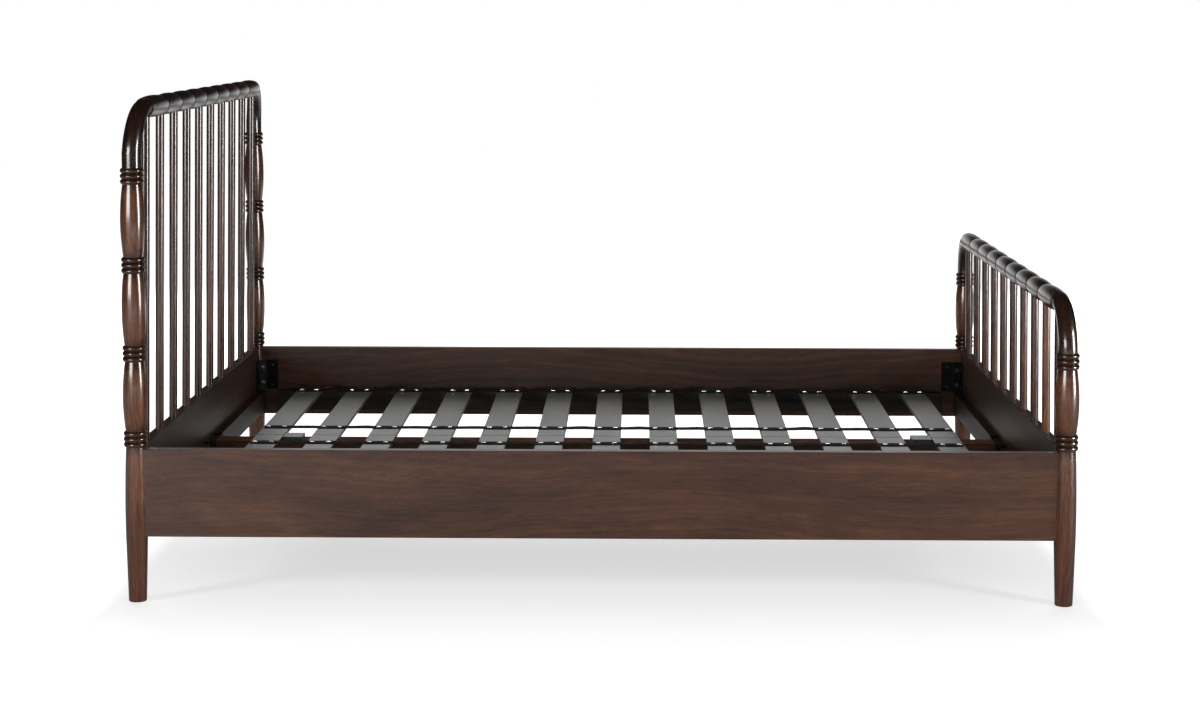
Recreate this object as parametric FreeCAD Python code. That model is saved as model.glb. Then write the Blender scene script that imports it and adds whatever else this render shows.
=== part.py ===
import FreeCAD, Part
import math
import os

from FreeCAD import Vector

# Bed frame of turned wood: posts, bent elbows, beaded top rails, spindles, side rails and loose slat rolls.
# Millimetres. The origin is on the floor under the middle of the bed. +X runs from head to foot, +Z is up.

# Overall layout
post_span_x = 2100.0
post_span_y = 1572.0
head_height = 1143.5
foot_height = 706.0

# Side rails, and the lower rails of the two boards
rail_bottom = 150.0
rail_depth = 200.0
rail_thickness = 25.0
panel_thickness = 24.0
rail_seat = 17.0
edge_round = 1.5

# Clearances shared by all joints
joint_fit = 0.1
socket_relief = 0.5
cut_overrun = 12.0

# Turned posts
post_foot_radius = 20.2
post_foot_round = 2.5
post_ankle_radius = 24.4
post_leg_radius = 25.0
post_neck_radius = 22.0
post_swell_radius = 27.5
ring_radius = 26.6
ring_height = 12.4
ring_gap = 4.0
ring_count = 3
head_neck_length = 32.0
foot_neck_length = 4.6
leg_ankle_share = 0.40
leg_swell_share = 0.70
head_cluster_shares = (0.0, 0.327, 0.663, 1.0)
foot_cluster_shares = (0.0, 1.0)

# Elbows and top rails
bend_width = 82.5
bend_height = 100.0
head_rail_lead = 11.0
foot_rail_lead = 4.0
elbow_end_radius = 19.8
elbow_tenon_radius = 10.0
elbow_tenon_length = 25.0
bead_radius = 25.4
bead_shoulder_radius = 22.6
groove_radius = 17.2
groove_width = 2.5
top_tenon_radius = 7.0
top_tenon_length = 24.0

# Spindles
spindle_count = 10
spindle_radius = 10.0
spindle_setback = 13.5
spindle_tenon_radius = 6.0
spindle_tenon_length = 20.0
socket_web = 1.5

# Ledgers, cleats and the centre beam
ledger_rise = 15.0
ledger_depth = 58.0
ledger_thickness = 20.0
ledger_end_gap = 56.0
cleat_end_gap = 18.0
beam_width = 64.0
beam_depth = 80.0

# Steel beam hangers
hanger_thickness = 2.5
hanger_shelf_length = 45.0
hanger_cheek_height = 60.0
hanger_half_width = 77.0
hanger_ear_width = 27.0
hanger_ear_margin = 2.0
hanger_screw_inset = 11.0

# Centre legs and their levelling glides
leg_count = 3
leg_end_inset = 365.0
leg_top_width = 50.0
leg_foot_width = 40.0
leg_lift = 20.0
leg_bolt_radius = 4.0
leg_bolt_grip = 40.0
glide_radius = 17.0
glide_rim_height = 3.0
glide_top_radius = 9.0
glide_height = 8.0
glide_stem_radius = 4.0
glide_stem_length = 42.0
glide_travel = 10.0
insert_radius = 7.0
insert_length = 16.0

# Steel corner brackets and their bolts
bracket_thickness = 3.0
bracket_height = 88.0
bracket_lift = 1.0
bracket_leg_length = 36.0
bracket_reach = 32.0
bracket_screw_inset = 15.0
bracket_bolt_inset = 22.0
bolt_radius = 3.0
bolt_tip_depth = 12.0
bolt_head_width = 10.0
bolt_head_height = 4.5
washer_radius = 7.0
washer_thickness = 1.4

# Wood screws
short_screw_radius = 1.75
short_screw_length = 17.0
short_head_radius = 4.0
short_head_height = 2.4
long_screw_radius = 2.0
long_screw_length = 36.0
long_head_radius = 4.0
long_head_height = 3.0
ledger_screw_count = 7
ledger_screw_end_inset = 67.0
cleat_screw_count = 3
cleat_screw_first = 180.0
cleat_screw_end_inset = 95.5

# Slat rolls
slat_count = 13
slat_end_margin = 119.0
slat_row_shift = 4.5
slat_width = 72.0
slat_thickness = 10.5
slat_round = 2.0
slat_middle_gap = 4.0
slat_end_gap = 5.5
strap_width = 38.0
strap_thickness = 1.6
strap_inner_offset = 106.0
strap_outer_offset = 78.0
strap_end_inset = 4.0
staple_length = 12.0
staple_width = 1.8
staple_height = 1.2
staple_edge_inset = 15.0

# Stop blocks that locate the slat rolls
block_gap = 2.0
block_fill_share = 0.6651885
ledger_block_height = 12.0
beam_block_width = 60.0

# Places that follow from the sizes above
END_SIGNS = {"head": -1, "foot": 1}
SIDE_SIGNS = {"left": 1, "right": -1}
post_x = post_span_x / 2
post_y = post_span_y / 2
board_height = {"head": head_height, "foot": foot_height}
neck_length = {"head": head_neck_length, "foot": foot_neck_length}
rail_lead = {"head": head_rail_lead, "foot": foot_rail_lead}
cluster_shares = {"head": head_cluster_shares, "foot": foot_cluster_shares}
rail_top = rail_bottom + rail_depth
rail_inner_y = post_y - rail_thickness / 2
panel_inner_x = post_x - panel_thickness / 2
cluster_height = ring_count * ring_height
spindle_inset = bend_width + spindle_setback
spindle_pitch = (post_span_y - 2 * spindle_inset) / (spindle_count - 1)
elbow_end_y = post_y - bend_width
seat_top = rail_bottom + ledger_rise + ledger_depth
ledger_bottom = rail_bottom + ledger_rise
ledger_inner_y = rail_inner_y - ledger_thickness
ledger_reach = panel_inner_x - ledger_end_gap
cleat_reach = rail_inner_y - cleat_end_gap
cleat_inner_x = panel_inner_x - ledger_thickness
beam_bottom = seat_top - beam_depth
beam_end_x = cleat_inner_x - hanger_thickness - socket_relief
leg_pitch = 2 * (beam_end_x - leg_end_inset) / (leg_count - 1)
ledger_screw_pitch = 2 * (ledger_reach - ledger_screw_end_inset) / (ledger_screw_count - 1)
cleat_screw_pitch = (cleat_reach - cleat_screw_end_inset - cleat_screw_first) / (cleat_screw_count - 1)
slat_pitch = 2 * (panel_inner_x - slat_end_margin - slat_width / 2) / (slat_count - 1)
block_width = block_fill_share * (slat_pitch - slat_width)
slat_top = seat_top + slat_thickness
slat_end_y = rail_inner_y - slat_end_gap
strap_top = slat_top + strap_thickness
bracket_bottom = seat_top + bracket_lift


def box(corner_a, corner_b):
    """Box between two opposite corners, given in any order."""
    low = [min(a, b) for a, b in zip(corner_a, corner_b)]
    size = [abs(a - b) for a, b in zip(corner_a, corner_b)]
    return Part.makeBox(size[0], size[1], size[2], Vector(*low))


def rod(radius, start, end):
    """Round bar from one point to another."""
    run = end - start
    return Part.makeCylinder(radius, run.Length, start, run)


def drilled(shape, cutters):
    """The shape with every cutter taken out of it."""
    return shape.cut(Part.makeCompound(cutters)) if cutters else shape


def line(a, b):
    """Straight edge between two points of a turning profile, each given as radius and height."""
    return Part.LineSegment(Vector(a[0], 0, a[1]), Vector(b[0], 0, b[1])).toShape()


def arc(a, through, b):
    """Round edge of a turning profile through three points."""
    points = [Vector(p[0], 0, p[1]) for p in (a, through, b)]
    return Part.Arc(*points).toShape()


def turned(edges):
    """Solid turned about the Z axis from a profile whose ends lie on that axis."""
    start = edges[0].Vertexes[0].Point
    end = edges[-1].Vertexes[-1].Point
    axis_edge = Part.LineSegment(end, start).toShape()
    face = Part.Face(Part.Wire(Part.sortEdges(edges + [axis_edge])[0]))
    return face.revolve(Vector(), Vector(0, 0, 1), 360)


def round_long_edges(shape, axis, radius):
    """Round the straight edges that run along one axis."""
    edges = []
    for edge in shape.Edges:
        run = edge.Vertexes[-1].Point - edge.Vertexes[0].Point
        if run.Length > 0 and abs(run.normalize().dot(axis)) > math.cos(math.radians(1)):
            edges.append(edge)
    return shape.makeFillet(radius, edges)


def facing(shape, point, direction):
    """A shape made along +Z from the origin, moved to a point and turned to a direction."""
    placed = shape.copy()
    placed.Placement = FreeCAD.Placement(point, FreeCAD.Rotation(Vector(0, 0, 1), direction))
    return placed


def corner_point(end, side, u, v, z):
    """Point u and v inwards from a post's axis, along X and Y."""
    return Vector(END_SIGNS[end] * (post_x - u), SIDE_SIGNS[side] * (post_y - v), z)


def corner_direction(end, side, u, v):
    """Direction whose parts u and v point inwards from a post, along X and Y."""
    return Vector(-END_SIGNS[end] * u, -SIDE_SIGNS[side] * v, 0)


def board_axis(end):
    """Height of the top rail's axis."""
    return board_height[end] - bead_radius


def post_top(end):
    """Height of the flat top of a post, where its elbow stands."""
    return board_axis(end) - bend_height - neck_length[end]


def cluster_bases(end):
    """Heights of the lowest ring of each cluster."""
    first = rail_top + ring_gap
    last = post_top(end) - cluster_height
    return [first + share * (last - first) for share in cluster_shares[end]]


def spindle_places():
    """Y of each spindle, evenly spaced across the board."""
    first = post_y - spindle_inset
    return [first - i * spindle_pitch for i in range(spindle_count)]


def slat_places():
    """X of each slat's middle, in a row a little nearer to the foot."""
    return [slat_row_shift + (i - (slat_count - 1) / 2) * slat_pitch for i in range(slat_count)]


def centre_leg_places():
    """X of each centre leg."""
    return [(i - (leg_count - 1) / 2) * leg_pitch for i in range(leg_count)]


# Fasteners: each place is the point under the head and the direction of driving
def bracket_screw_places():
    """Screws through the legs of the corner brackets, as (end, side, piece, point, direction)."""
    places = []
    middle = bracket_reach + bracket_leg_length / 2
    rail_face = rail_thickness / 2 + bracket_thickness
    panel_face = panel_thickness / 2 + bracket_thickness
    heights = (bracket_bottom + bracket_screw_inset, bracket_bottom + bracket_height - bracket_screw_inset)
    for end in END_SIGNS:
        for side in SIDE_SIGNS:
            for z in heights:
                rail_point = corner_point(end, side, middle, rail_face, z)
                panel_point = corner_point(end, side, panel_face, middle, z)
                places.append((end, side, "rail", rail_point, corner_direction(end, side, 0, -1)))
                places.append((end, side, "panel", panel_point, corner_direction(end, side, -1, 0)))
    return places


def bolt_places():
    """Bolts through the slanted web of each bracket into the post, as (end, side, point, direction)."""
    web_distance = (bracket_reach + rail_thickness / 2) / math.sqrt(2) + bracket_thickness
    reach = web_distance / math.sqrt(2)
    heights = (bracket_bottom + bracket_bolt_inset, bracket_bottom + bracket_height - bracket_bolt_inset)
    places = []
    for end in END_SIGNS:
        for side in SIDE_SIGNS:
            for z in heights:
                point = corner_point(end, side, reach, reach, z)
                places.append((end, side, point, corner_direction(end, side, -1, -1).normalize()))
    return places


def bolt_length():
    """Length of a bolt under its head, washer included."""
    web_distance = (bracket_reach + rail_thickness / 2) / math.sqrt(2) + bracket_thickness
    return web_distance + washer_thickness - bolt_tip_depth


def ledger_screw_places(side):
    """Screws through a ledger into its side rail."""
    z = ledger_bottom + ledger_depth / 2
    sign = SIDE_SIGNS[side]
    steps = [i - (ledger_screw_count - 1) / 2 for i in range(ledger_screw_count)]
    points = [Vector(step * ledger_screw_pitch, sign * ledger_inner_y, z) for step in steps]
    return [(point, Vector(0, sign, 0)) for point in points]


def cleat_screw_places(end):
    """Screws through a cleat into the lower rail behind it."""
    z = ledger_bottom + ledger_depth / 2
    sign = END_SIGNS[end]
    places = []
    for i in range(cleat_screw_count):
        for side in SIDE_SIGNS.values():
            y = side * (cleat_screw_first + i * cleat_screw_pitch)
            places.append((Vector(sign * cleat_inner_x, y, z), Vector(sign, 0, 0)))
    return places


def ear_screw_places(end):
    """Screws through a hanger's ears, down into the cleat."""
    x = END_SIGNS[end] * (cleat_inner_x + ledger_thickness / 2)
    y = hanger_half_width - hanger_ear_width / 2
    z = seat_top + hanger_thickness
    return [(Vector(x, sign * y, z), Vector(0, 0, -1)) for sign in SIDE_SIGNS.values()]


def cheek_screw_places(end):
    """Screws through a hanger's cheeks into the sides of the beam."""
    z = beam_bottom + hanger_cheek_height / 2
    y = beam_width / 2 + hanger_thickness
    insets = (hanger_screw_inset, hanger_shelf_length - hanger_screw_inset)
    places = []
    for inset in insets:
        for sign in SIDE_SIGNS.values():
            point = Vector(END_SIGNS[end] * (beam_end_x - inset), sign * y, z)
            places.append((point, Vector(0, -sign, 0)))
    return places


def screw_holes(places, radius, length):
    """Round holes that take the shanks of a set of screws, from just above the surface."""
    holes = []
    for point, direction in places:
        start = point - direction * cut_overrun
        holes.append(rod(radius + joint_fit, start, point + direction * (length + socket_relief)))
    return holes


# Turned posts
def ring_cluster_edges(base):
    """Profile of one cluster of rounded rings, from its lowest point up."""
    edges = []
    for i in range(ring_count):
        low = base + i * ring_height
        middle = (ring_radius, low + ring_height / 2)
        edges.append(arc((post_neck_radius, low), middle, (post_neck_radius, low + ring_height)))
    return edges


def post_edges(end):
    """Whole turning profile of a post: tapered leg, ring clusters and the swells between them."""
    bases = cluster_bases(end)
    ankle = (post_ankle_radius, leg_ankle_share * bases[0])
    swell = (post_leg_radius, leg_swell_share * bases[0])
    corner = post_foot_round * (1 - math.sqrt(0.5))
    edges = [
        line((0, 0), (post_foot_radius - post_foot_round, 0)),
        arc((post_foot_radius - post_foot_round, 0), (post_foot_radius - corner, corner),
            (post_foot_radius, post_foot_round)),
        line((post_foot_radius, post_foot_round), ankle),
        arc(ankle, swell, (post_neck_radius, bases[0])),
    ]
    for i, base in enumerate(bases):
        edges += ring_cluster_edges(base)
        top = base + cluster_height
        if i + 1 < len(bases):
            middle = (post_swell_radius, (top + bases[i + 1]) / 2)
            edges.append(arc((post_neck_radius, top), middle, (post_neck_radius, bases[i + 1])))
    edges.append(line((post_neck_radius, post_top(end)), (0, post_top(end))))
    return edges


def post(end, side):
    """One post, with housings for the side rail and lower rail and a mortise for its elbow."""
    body = turned(post_edges(end))
    body.translate(corner_point(end, side, 0, 0, 0))
    reach = post_leg_radius + cut_overrun
    low = rail_bottom - joint_fit
    high = rail_top + joint_fit
    half_rail = rail_thickness / 2 + joint_fit
    half_panel = panel_thickness / 2 + joint_fit
    seat = rail_seat - joint_fit
    top = corner_point(end, side, 0, 0, post_top(end) + cut_overrun)
    mortise_depth = elbow_tenon_length + socket_relief
    mortise_end = corner_point(end, side, 0, 0, post_top(end) - mortise_depth)
    rail_low = corner_point(end, side, seat, half_rail, low)
    panel_low = corner_point(end, side, half_panel, seat, low)
    cutters = [
        box(rail_low, corner_point(end, side, reach, -half_rail, high)),
        box(panel_low, corner_point(end, side, -half_panel, reach, high)),
        rod(elbow_tenon_radius + joint_fit, top, mortise_end),
    ]
    for bolt_end, bolt_side, point, direction in bolt_places():
        if (bolt_end, bolt_side) == (end, side):
            tip = point + direction * (bolt_length() - washer_thickness + socket_relief)
            cutters.append(rod(bolt_radius + joint_fit, point, tip))
    return drilled(body, cutters)


# Bent elbows
def circle_wire(radius, centre, normal):
    """Closed round wire."""
    return Part.Wire(Part.makeCircle(radius, centre, normal))


def quarter_bend(start, corner, finish):
    """Quarter of an ellipse whose end tangents meet at the corner."""
    curve = Part.BSplineCurve()
    poles = [start, corner, finish]
    curve.buildFromPolesMultsKnots(poles, [3, 3], [0.0, 1.0], False, 2, [1.0, math.sqrt(0.5), 1.0])
    return Part.Wire(curve.toShape())


def elbow(end, side):
    """Neck and tapering quarter bend, with a tenon into the post and a mortise for the top rail."""
    axis_z = board_axis(end)
    start = corner_point(end, side, 0, 0, axis_z - bend_height)
    finish = corner_point(end, side, rail_lead[end], bend_width, axis_z)
    inward = corner_direction(end, side, 0, 1)
    path = quarter_bend(start, corner_point(end, side, rail_lead[end] / 2, 0, axis_z), finish)
    profiles = [
        circle_wire(post_neck_radius, start, Vector(0, 0, 1)),
        circle_wire(elbow_end_radius, finish, inward),
    ]
    bend = path.makePipeShell(profiles, True, False)
    base = corner_point(end, side, 0, 0, post_top(end))
    neck = rod(post_neck_radius, base, start)
    tenon = rod(elbow_tenon_radius, base - Vector(0, 0, elbow_tenon_length), base)
    body = Part.Solid(bend).fuse([neck, tenon])
    mortise_end = finish - inward * (top_tenon_length + socket_relief)
    mortise = rod(top_tenon_radius + joint_fit, finish + inward * cut_overrun, mortise_end)
    return drilled(body, [mortise])


# Beaded top rails
def bead_edges(start, start_radius, end, end_radius):
    """Profile of one barrel bead between two places along the rail: shoulder, crown and shoulder."""
    first = bead_shoulder_radius - start_radius
    last = bead_shoulder_radius - end_radius
    corner = math.sqrt(0.5)
    crown_start = (bead_shoulder_radius, start + first)
    crown_end = (bead_shoulder_radius, end - last)
    shoulder_in = (start_radius + first * corner, start + first * (1 - corner))
    shoulder_out = (end_radius + last * corner, end - last * (1 - corner))
    return [
        arc((start_radius, start), shoulder_in, crown_start),
        arc(crown_start, (bead_radius, (crown_start[1] + crown_end[1]) / 2), crown_end),
        arc(crown_end, shoulder_out, (end_radius, end)),
    ]


def top_rail(end):
    """Turned rail of barrel beads, with a groove over each inner spindle and a round tenon at each end."""
    grooves = sorted(spindle_places()[1:-1])
    half_groove = groove_width / 2
    tip = elbow_end_y + top_tenon_length
    edges = [
        line((0, -tip), (top_tenon_radius, -tip)),
        line((top_tenon_radius, -tip), (top_tenon_radius, -elbow_end_y)),
        line((top_tenon_radius, -elbow_end_y), (elbow_end_radius, -elbow_end_y)),
    ]
    start = -elbow_end_y
    start_radius = elbow_end_radius
    for groove in grooves:
        edges += bead_edges(start, start_radius, groove - half_groove, groove_radius)
        edges.append(line((groove_radius, groove - half_groove), (groove_radius, groove + half_groove)))
        start = groove + half_groove
        start_radius = groove_radius
    edges += bead_edges(start, start_radius, elbow_end_y, elbow_end_radius)
    edges += [
        line((elbow_end_radius, elbow_end_y), (top_tenon_radius, elbow_end_y)),
        line((top_tenon_radius, elbow_end_y), (top_tenon_radius, tip)),
        line((top_tenon_radius, tip), (0, tip)),
    ]
    rail_x = END_SIGNS[end] * (post_x - rail_lead[end])
    rail = facing(turned(edges), Vector(rail_x, 0, board_axis(end)), Vector(0, 1, 0))
    return drilled(rail, [spindle_socket(end, y) for y in spindle_places()])


# Spindles and lower rails
def spindle_top(end):
    """Height of the blind end of a spindle's upper socket."""
    return board_axis(end) - top_tenon_radius - socket_web


def spindle_point(end, y, z):
    """Point at one height on a spindle's axis, which leans inwards to meet the top rail."""
    share = (z - rail_top) / (board_axis(end) - rail_top)
    return Vector(END_SIGNS[end] * (post_x - share * rail_lead[end]), y, z)


def spindle_socket(end, y):
    """Hole in the top rail that takes the top of one spindle."""
    below = spindle_point(end, y, board_axis(end) - bead_radius - cut_overrun)
    return rod(spindle_radius + joint_fit, below, spindle_point(end, y, spindle_top(end)))


def spindle(end, y):
    """Plain round spindle whose flat shoulder stands on the lower rail, with a tenon below it."""
    low = spindle_point(end, y, rail_top - cut_overrun)
    high = spindle_point(end, y, rail_top + cut_overrun)
    reach = spindle_radius + cut_overrun
    waste = box((low.x - reach, y - reach, low.z - cut_overrun), (low.x + reach, y + reach, rail_top))
    body = rod(spindle_radius, low, spindle_point(end, y, spindle_top(end) - socket_relief)).cut(waste)
    tenon = rod(spindle_tenon_radius, spindle_point(end, y, rail_top - spindle_tenon_length), high)
    return body.fuse(tenon)


def lower_rail(end):
    """Flat rail between two posts, with a mortise under each spindle."""
    x = END_SIGNS[end] * post_x
    half = panel_thickness / 2
    reach = post_y - rail_seat
    rail = box((x - half, -reach, rail_bottom), (x + half, reach, rail_top))
    rail = round_long_edges(rail, Vector(0, 1, 0), edge_round)
    depth = spindle_tenon_length + socket_relief
    cutters = []
    for y in spindle_places():
        low = spindle_point(end, y, rail_top - depth)
        high = spindle_point(end, y, rail_top + cut_overrun)
        cutters.append(rod(spindle_tenon_radius + joint_fit, low, high))
    cutters += screw_holes(cleat_screw_places(end), long_screw_radius, long_screw_length)
    panel_screws = [p[3:] for p in bracket_screw_places() if p[0] == end and p[2] == "panel"]
    cutters += screw_holes(panel_screws, short_screw_radius, short_screw_length)
    return drilled(rail, cutters)


# Side rails, ledgers and cleats
def side_rail(side):
    """Deep flat rail between a head post and a foot post."""
    y = SIDE_SIGNS[side] * post_y
    half = rail_thickness / 2
    reach = post_x - rail_seat
    rail = box((-reach, y - half, rail_bottom), (reach, y + half, rail_top))
    rail = round_long_edges(rail, Vector(1, 0, 0), edge_round)
    cutters = screw_holes(ledger_screw_places(side), long_screw_radius, long_screw_length)
    rail_screws = [p[3:] for p in bracket_screw_places() if p[1] == side and p[2] == "rail"]
    cutters += screw_holes(rail_screws, short_screw_radius, short_screw_length)
    return drilled(rail, cutters)


def countersinks(places):
    """Cones that sink the heads of long screws flush."""
    depth = long_head_height + joint_fit
    sink = Part.makeCone(long_head_radius + joint_fit, long_screw_radius + joint_fit, depth)
    return [facing(sink, point, direction) for point, direction in places]


def rail_ledger(side):
    """Strip inside a side rail that carries the outer ends of the slats."""
    sign = SIDE_SIGNS[side]
    low = (-ledger_reach, sign * ledger_inner_y, ledger_bottom)
    strip = box(low, (ledger_reach, sign * rail_inner_y, seat_top))
    places = ledger_screw_places(side)
    return drilled(strip, screw_holes(places, long_screw_radius, long_screw_length) + countersinks(places))


def end_cleat(end):
    """Strip inside a lower rail that carries the beam hanger."""
    sign = END_SIGNS[end]
    low = (sign * cleat_inner_x, -cleat_reach, ledger_bottom)
    strip = box(low, (sign * panel_inner_x, cleat_reach, seat_top))
    places = cleat_screw_places(end)
    cutters = screw_holes(places, long_screw_radius, long_screw_length) + countersinks(places)
    cutters += screw_holes(ear_screw_places(end), short_screw_radius, short_screw_length)
    return drilled(strip, cutters)


# Centre beam, its hangers and its legs
def centre_beam():
    """Beam along the middle of the bed, under the inner ends of both slat rolls."""
    half = beam_width / 2
    beam = box((-beam_end_x, -half, beam_bottom), (beam_end_x, half, seat_top))
    beam = round_long_edges(beam, Vector(1, 0, 0), edge_round)
    cutters = []
    for x in centre_leg_places():
        tip = Vector(x, 0, beam_bottom + leg_bolt_grip + socket_relief)
        cutters.append(rod(leg_bolt_radius + joint_fit, Vector(x, 0, beam_bottom - cut_overrun), tip))
    for end in END_SIGNS:
        cutters += screw_holes(cheek_screw_places(end), short_screw_radius, short_screw_length)
    return drilled(beam, cutters)


def beam_hanger(end):
    """Folded steel saddle: a back plate with two ears over the cleat, two cheeks and a shelf."""
    sign = END_SIGNS[end]
    back = cleat_inner_x
    front = cleat_inner_x - hanger_thickness
    lip = front - hanger_shelf_length
    shelf_bottom = beam_bottom - hanger_thickness
    half = beam_width / 2
    cheek = half + hanger_thickness
    ear_start = hanger_half_width - hanger_ear_width
    ear_end = panel_inner_x - hanger_ear_margin
    ear_top = seat_top + hanger_thickness
    plates = [
        box((sign * lip, -cheek, shelf_bottom), (sign * back, cheek, beam_bottom)),
        box((sign * front, -hanger_half_width, ledger_bottom), (sign * back, hanger_half_width, seat_top)),
        box((sign * front, -cheek, shelf_bottom), (sign * back, cheek, ledger_bottom)),
    ]
    for side in SIDE_SIGNS.values():
        cheek_top = beam_bottom + hanger_cheek_height
        plates.append(box((sign * lip, side * half, shelf_bottom), (sign * back, side * cheek, cheek_top)))
        plates.append(box((sign * front, side * ear_start, seat_top),
                          (sign * ear_end, side * hanger_half_width, ear_top)))
    saddle = plates[0].fuse(plates[1:]).removeSplitter()
    places = ear_screw_places(end) + cheek_screw_places(end)
    holes = []
    for point, direction in places:
        start = point - direction * hanger_thickness
        holes.append(rod(short_screw_radius + joint_fit, start, point + direction * (2 * hanger_thickness)))
    return drilled(saddle, holes)


def square_wire(width, x, z):
    """Square outline centred on the beam's middle line."""
    half = width / 2
    corners = [(-half, -half), (half, -half), (half, half), (-half, half), (-half, -half)]
    return Part.makePolygon([Vector(x + u, v, z) for u, v in corners])


def leg_bore_top():
    """Height of the blind end of the bore that a glide's stem runs in."""
    return glide_height + glide_stem_length + glide_travel + socket_relief


def centre_leg(x):
    """Tapered square leg, bored for its bolt at the top and its glide at the bottom."""
    outlines = [square_wire(leg_foot_width, x, leg_lift), square_wire(leg_top_width, x, beam_bottom)]
    leg = Part.makeLoft(outlines, True)
    bolt_low = Vector(x, 0, beam_bottom - leg_bolt_grip - socket_relief)
    below = Vector(x, 0, leg_lift - cut_overrun)
    cutters = [
        rod(leg_bolt_radius + joint_fit, bolt_low, Vector(x, 0, beam_bottom + cut_overrun)),
        rod(insert_radius + joint_fit, below, Vector(x, 0, leg_lift + insert_length)),
        rod(glide_stem_radius + 2 * joint_fit, below, Vector(x, 0, leg_bore_top())),
    ]
    return drilled(leg, cutters)


def leg_bolt(x):
    """Headless bolt that joins a leg to the beam."""
    middle = Vector(x, 0, beam_bottom)
    grip = Vector(0, 0, leg_bolt_grip)
    return rod(leg_bolt_radius, middle - grip, middle + grip)


def glide_insert(x):
    """Threaded sleeve in the bottom of a leg."""
    low = Vector(x, 0, leg_lift)
    high = Vector(x, 0, leg_lift + insert_length)
    overrun = Vector(0, 0, cut_overrun)
    bore = rod(glide_stem_radius + joint_fit, low - overrun, high + overrun)
    return rod(insert_radius, low, high).cut(bore)


def levelling_glide(x):
    """Flat foot with a sloping top and a stem that screws into the leg."""
    edges = [
        line((0, 0), (glide_radius, 0)),
        line((glide_radius, 0), (glide_radius, glide_rim_height)),
        line((glide_radius, glide_rim_height), (glide_top_radius, glide_height)),
        line((glide_top_radius, glide_height), (glide_stem_radius, glide_height)),
        line((glide_stem_radius, glide_height), (glide_stem_radius, glide_height + glide_stem_length)),
        line((glide_stem_radius, glide_height + glide_stem_length), (0, glide_height + glide_stem_length)),
    ]
    glide = turned(edges)
    glide.translate(Vector(x, 0, 0))
    return glide


# Corner brackets and fasteners
def corner_bracket(end, side):
    """Plate folded in three: a leg on each rail and a slanted web across the post between them."""
    rail_face = rail_thickness / 2
    panel_face = panel_thickness / 2
    panel_reach = rail_face + bracket_reach - panel_face
    fold = bracket_thickness * math.tan(math.radians(22.5))
    rail_tip = bracket_reach + bracket_leg_length
    panel_tip = panel_reach + bracket_leg_length
    outline = [
        (rail_tip, rail_face),
        (bracket_reach, rail_face),
        (panel_face, panel_reach),
        (panel_face, panel_tip),
        (panel_face + bracket_thickness, panel_tip),
        (panel_face + bracket_thickness, panel_reach + fold),
        (bracket_reach + fold, rail_face + bracket_thickness),
        (rail_tip, rail_face + bracket_thickness),
    ]
    points = [corner_point(end, side, u, v, bracket_bottom) for u, v in outline]
    plate = Part.Face(Part.makePolygon(points + points[:1])).extrude(Vector(0, 0, bracket_height))
    holes = []
    for place in bracket_screw_places():
        if place[:2] == (end, side):
            point, direction = place[3:]
            through = direction * bracket_thickness
            holes.append(rod(short_screw_radius + joint_fit, point - through, point + through * 2))
    for bolt_end, bolt_side, point, direction in bolt_places():
        if (bolt_end, bolt_side) == (end, side):
            through = direction * bracket_thickness
            holes.append(rod(bolt_radius + joint_fit, point - through, point + through * 2))
    return drilled(plate, holes)


def bed_bolt(point, direction):
    """Hexagon bolt with its washer, made along its axis from under the washer."""
    head_radius = bolt_head_width / math.sqrt(3)
    corners = [math.radians(60 * i) for i in range(7)]
    head_base = -washer_thickness
    outline = [Vector(head_radius * math.cos(a), head_radius * math.sin(a), head_base) for a in corners]
    head = Part.Face(Part.makePolygon(outline)).extrude(Vector(0, 0, -bolt_head_height))
    washer = rod(washer_radius, Vector(0, 0, head_base), Vector())
    shank = rod(bolt_radius, Vector(0, 0, head_base), Vector(0, 0, bolt_length() - washer_thickness))
    return facing(head.fuse([washer, shank]), point, direction)


def short_screw(point, direction):
    """Wood screw with a low domed head, made along its axis from under the head."""
    dome = (short_head_radius * math.sqrt(0.5), -short_head_height * math.sqrt(0.75))
    edges = [
        arc((0, -short_head_height), dome, (short_head_radius, 0)),
        line((short_head_radius, 0), (short_screw_radius, 0)),
        line((short_screw_radius, 0), (short_screw_radius, short_screw_length)),
        line((short_screw_radius, short_screw_length), (0, short_screw_length)),
    ]
    return facing(turned(edges), point, direction)


def long_screw(point, direction):
    """Wood screw with a flush cone head, made along its axis from the top of the head."""
    edges = [
        line((0, 0), (long_head_radius, 0)),
        line((long_head_radius, 0), (long_screw_radius, long_head_height)),
        line((long_screw_radius, long_head_height), (long_screw_radius, long_screw_length)),
        line((long_screw_radius, long_screw_length), (0, long_screw_length)),
    ]
    return facing(turned(edges), point, direction)


# Slat rolls
def slats(side):
    """One row of flat slats from the centre beam to a ledger."""
    sign = SIDE_SIGNS[side]
    row = []
    for x in slat_places():
        half = slat_width / 2
        inner = sign * slat_middle_gap / 2
        slat = box((x - half, inner, seat_top), (x + half, sign * slat_end_y, slat_top))
        row.append(round_long_edges(slat, Vector(0, 1, 0), slat_round))
    return row


def strap_middles(side):
    """Y of the middle of each webbing strap on a row."""
    sign = SIDE_SIGNS[side]
    return [sign * strap_inner_offset, sign * (slat_end_y - strap_outer_offset)]


def straps(side):
    """Two flat webbing straps over the whole row."""
    overhang = slat_width / 2 - strap_end_inset
    start = slat_places()[0] - overhang
    finish = slat_places()[-1] + overhang
    half = strap_width / 2
    return [box((start, y - half, slat_top), (finish, y + half, strap_top)) for y in strap_middles(side)]


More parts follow.
